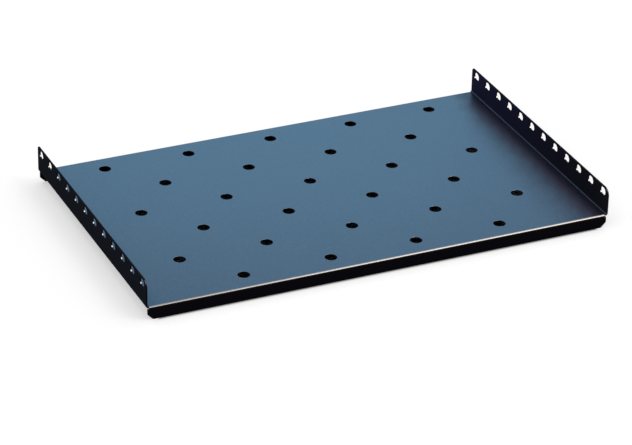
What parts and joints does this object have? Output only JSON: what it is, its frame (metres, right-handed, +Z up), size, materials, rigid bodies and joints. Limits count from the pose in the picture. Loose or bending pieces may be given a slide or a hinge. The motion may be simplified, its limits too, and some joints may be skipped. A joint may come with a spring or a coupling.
{
  "type": "rack shelf",
  "caption": "Fixed rack shelf folded from one steel sheet, with a row of oblong holes in each side flange, down-turned front and rear lips, and a staggered field of round holes in its deck.",
  "frame": {"origin": "middle of the footprint, on the surface on which the two lips stand", "axes": "+X to the right across the rack, +Y to the rear, +Z up"},
  "size_m": [0.485, 0.296, 0.041],
  "materials": {
    "powder_coat": "smooth satin powder coat on steel, steel blue on the deck and blue-black on the flanges and lips"
  },
  "bodies": {
    "root": {"rack_shelf": "powder_coat"}
  },
  "joints": []
}
